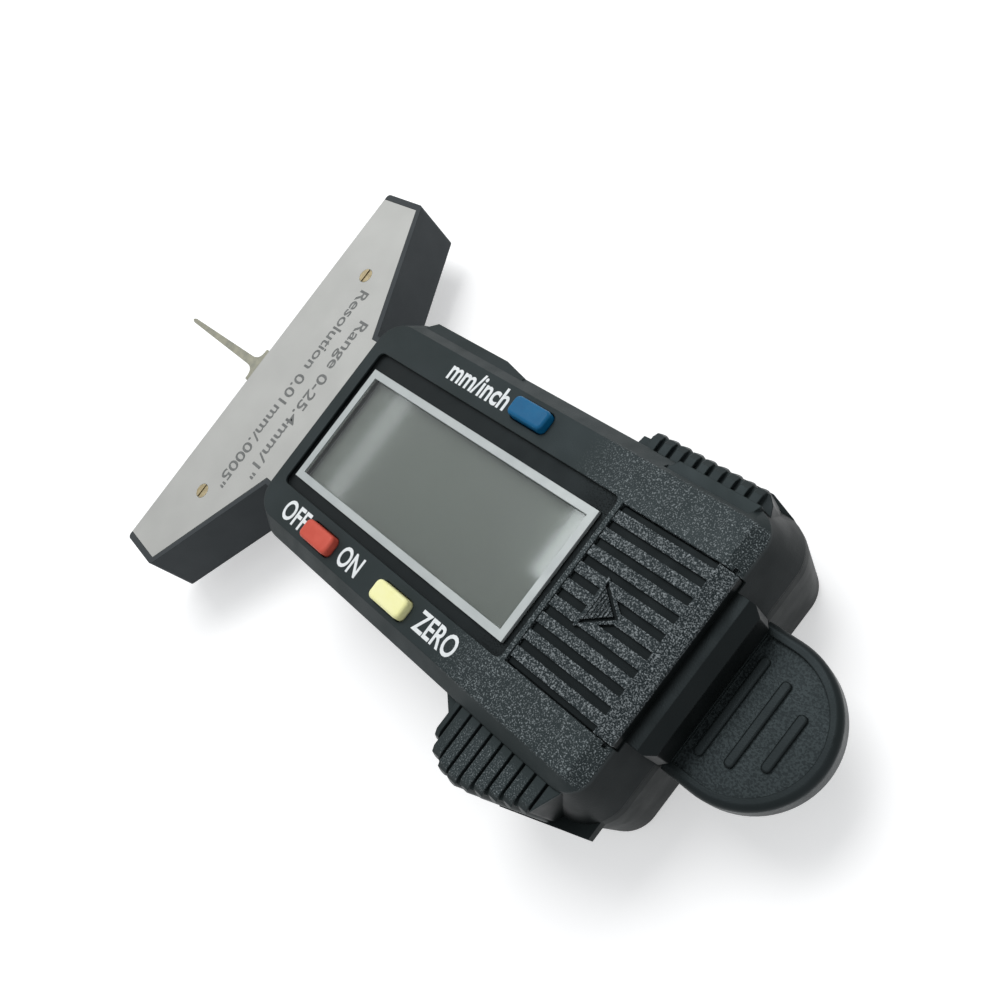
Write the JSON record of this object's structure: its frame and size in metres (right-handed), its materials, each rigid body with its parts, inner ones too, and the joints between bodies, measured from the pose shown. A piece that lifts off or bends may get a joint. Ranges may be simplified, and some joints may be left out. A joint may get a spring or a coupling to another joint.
{
  "type": "tread depth gauge",
  "caption": "Digital tread depth gauge with a T-shaped measuring base, a sliding needle, a thumb tab, a display, coloured push-buttons and a ribbed sliding battery cover.",
  "frame": {"origin": "middle of the whole box in X and Y, on the plane of the flat back", "axes": "+X from the needle to the thumb tab, +Y across the gauge to the side of the unit button, +Z out of the display"},
  "size_m": [0.1188, 0.0618, 0.0201],
  "materials": {
    "base_black": "fine-grained black moulding",
    "satin_plate": "bead-blasted satin plate",
    "brassed_steel": "yellow-passivated small screws",
    "housing_black": "charcoal moulding with a spark-eroded texture",
    "zinc_steel": "zinc-plated screws",
    "spring_steel": "polished spring steel",
    "rod_steel": "dull stamped steel with an olive tint",
    "silver_print": "satin silver border",
    "clear_window": "clear moulded window",
    "lcd_glass": "grey-green reflective display",
    "zebra_rubber": "layered contact strip",
    "board_green": "green soldermask",
    "chip_epoxy": "black epoxy blob",
    "scale_laminate": "laminate strip with plated bars",
    "guide_acetal": "natural acetal strips",
    "contact_bronze": "phosphor bronze strip",
    "cell_steel": "nickel-plated can",
    "blue_key": "blue satin moulding",
    "red_key": "red satin moulding",
    "yellow_key": "pale yellow satin moulding"
  },
  "bodies": {
    "gauge_body": {"measuring_base": "base_black", "base_plate": "satin_plate", "base_plate_screws": "brassed_steel", "front_housing": "housing_black", "back_housing": "housing_black", "housing_screws": "zinc_steel", "guide_strips": "guide_acetal", "guide_screws": "brassed_steel", "display_frame": "silver_print", "display_window": "clear_window", "lcd_panel": "lcd_glass", "elastomer_strips": "zebra_rubber", "circuit_board": "board_green", "controller_chip": "chip_epoxy", "switch_domes": "spring_steel", "board_screws": "brassed_steel", "button_cell": "cell_steel", "positive_contact": "contact_bronze", "negative_contact": "contact_bronze"},
    "slider": {"slide_carriage": "housing_black", "measuring_rod": "rod_steel", "rod_pins": "rod_steel", "scale_strip": "scale_laminate", "friction_spring": "spring_steel"},
    "cover": {"battery_cover": "housing_black"},
    "unit_key": {"unit_button": "blue_key"},
    "power_key": {"power_button": "red_key"},
    "zero_key": {"zero_button": "yellow_key"}
  },
  "joints": [
    {"name": "slider_draw_in", "type": "slide", "parent": "gauge_body", "child": "slider", "axis": [1, 0, 0], "range_m": [0, 0.0254]},
    {"name": "cover_slide", "type": "slide", "parent": "gauge_body", "child": "cover", "axis": [1, 0, 0], "range_m": [0, 0.014]},
    {"name": "unit_press", "type": "slide", "parent": "gauge_body", "child": "unit_key", "axis": [0, 0, -1], "range_m": [0, 0.0005], "stiffness_N_per_m": 900},
    {"name": "power_press", "type": "slide", "parent": "gauge_body", "child": "power_key", "axis": [0, 0, -1], "range_m": [0, 0.0005], "stiffness_N_per_m": 900},
    {"name": "zero_press", "type": "slide", "parent": "gauge_body", "child": "zero_key", "axis": [0, 0, -1], "range_m": [0, 0.0005], "stiffness_N_per_m": 900}
  ]
}
